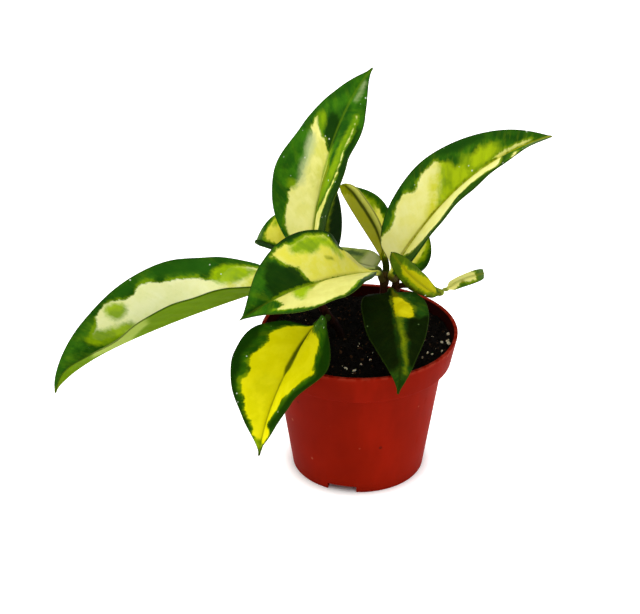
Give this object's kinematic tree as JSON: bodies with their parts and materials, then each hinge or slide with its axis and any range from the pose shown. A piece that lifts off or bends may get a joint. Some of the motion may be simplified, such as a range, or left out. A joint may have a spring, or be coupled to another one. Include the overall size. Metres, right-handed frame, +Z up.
{
  "type": "potted houseplant",
  "caption": "Small hoya plant with fleshy variegated leaves on short woody stems, in a round moulded plastic nursery pot filled with dark soil.",
  "frame": {"origin": "middle of the pot's underside, where it stands", "axes": "+Z up along the pot's axis, -Y towards the front of the plant, +X to its right"},
  "size_m": [0.1948, 0.0975, 0.1683],
  "materials": {
    "pot_plastic": "satin moulded plastic, terracotta red",
    "potting_soil": "matt, fine dark peat with pale grains",
    "stem_bark": "smooth young bark",
    "cream_leaf": "waxy, cream middle with green margins",
    "yellow_leaf": "waxy, yellow middle with dark green margins",
    "dark_leaf": "waxy, dark green"
  },
  "bodies": {
    "root": {"pot": "pot_plastic", "soil": "potting_soil", "stem_left": "stem_bark", "stem_middle": "stem_bark", "stem_right": "stem_bark", "leaf_tall": "cream_leaf", "leaf_right": "cream_leaf", "leaf_left": "cream_leaf", "leaf_centre": "cream_leaf", "leaf_yellow": "yellow_leaf", "leaf_front": "dark_leaf", "leaf_shoot_inner": "yellow_leaf", "leaf_shoot_outer": "cream_leaf", "leaf_back_right": "yellow_leaf", "leaf_folded": "yellow_leaf", "leaf_behind": "dark_leaf", "leaf_small_left": "cream_leaf", "leaf_shaded": "dark_leaf"}
  },
  "joints": []
}
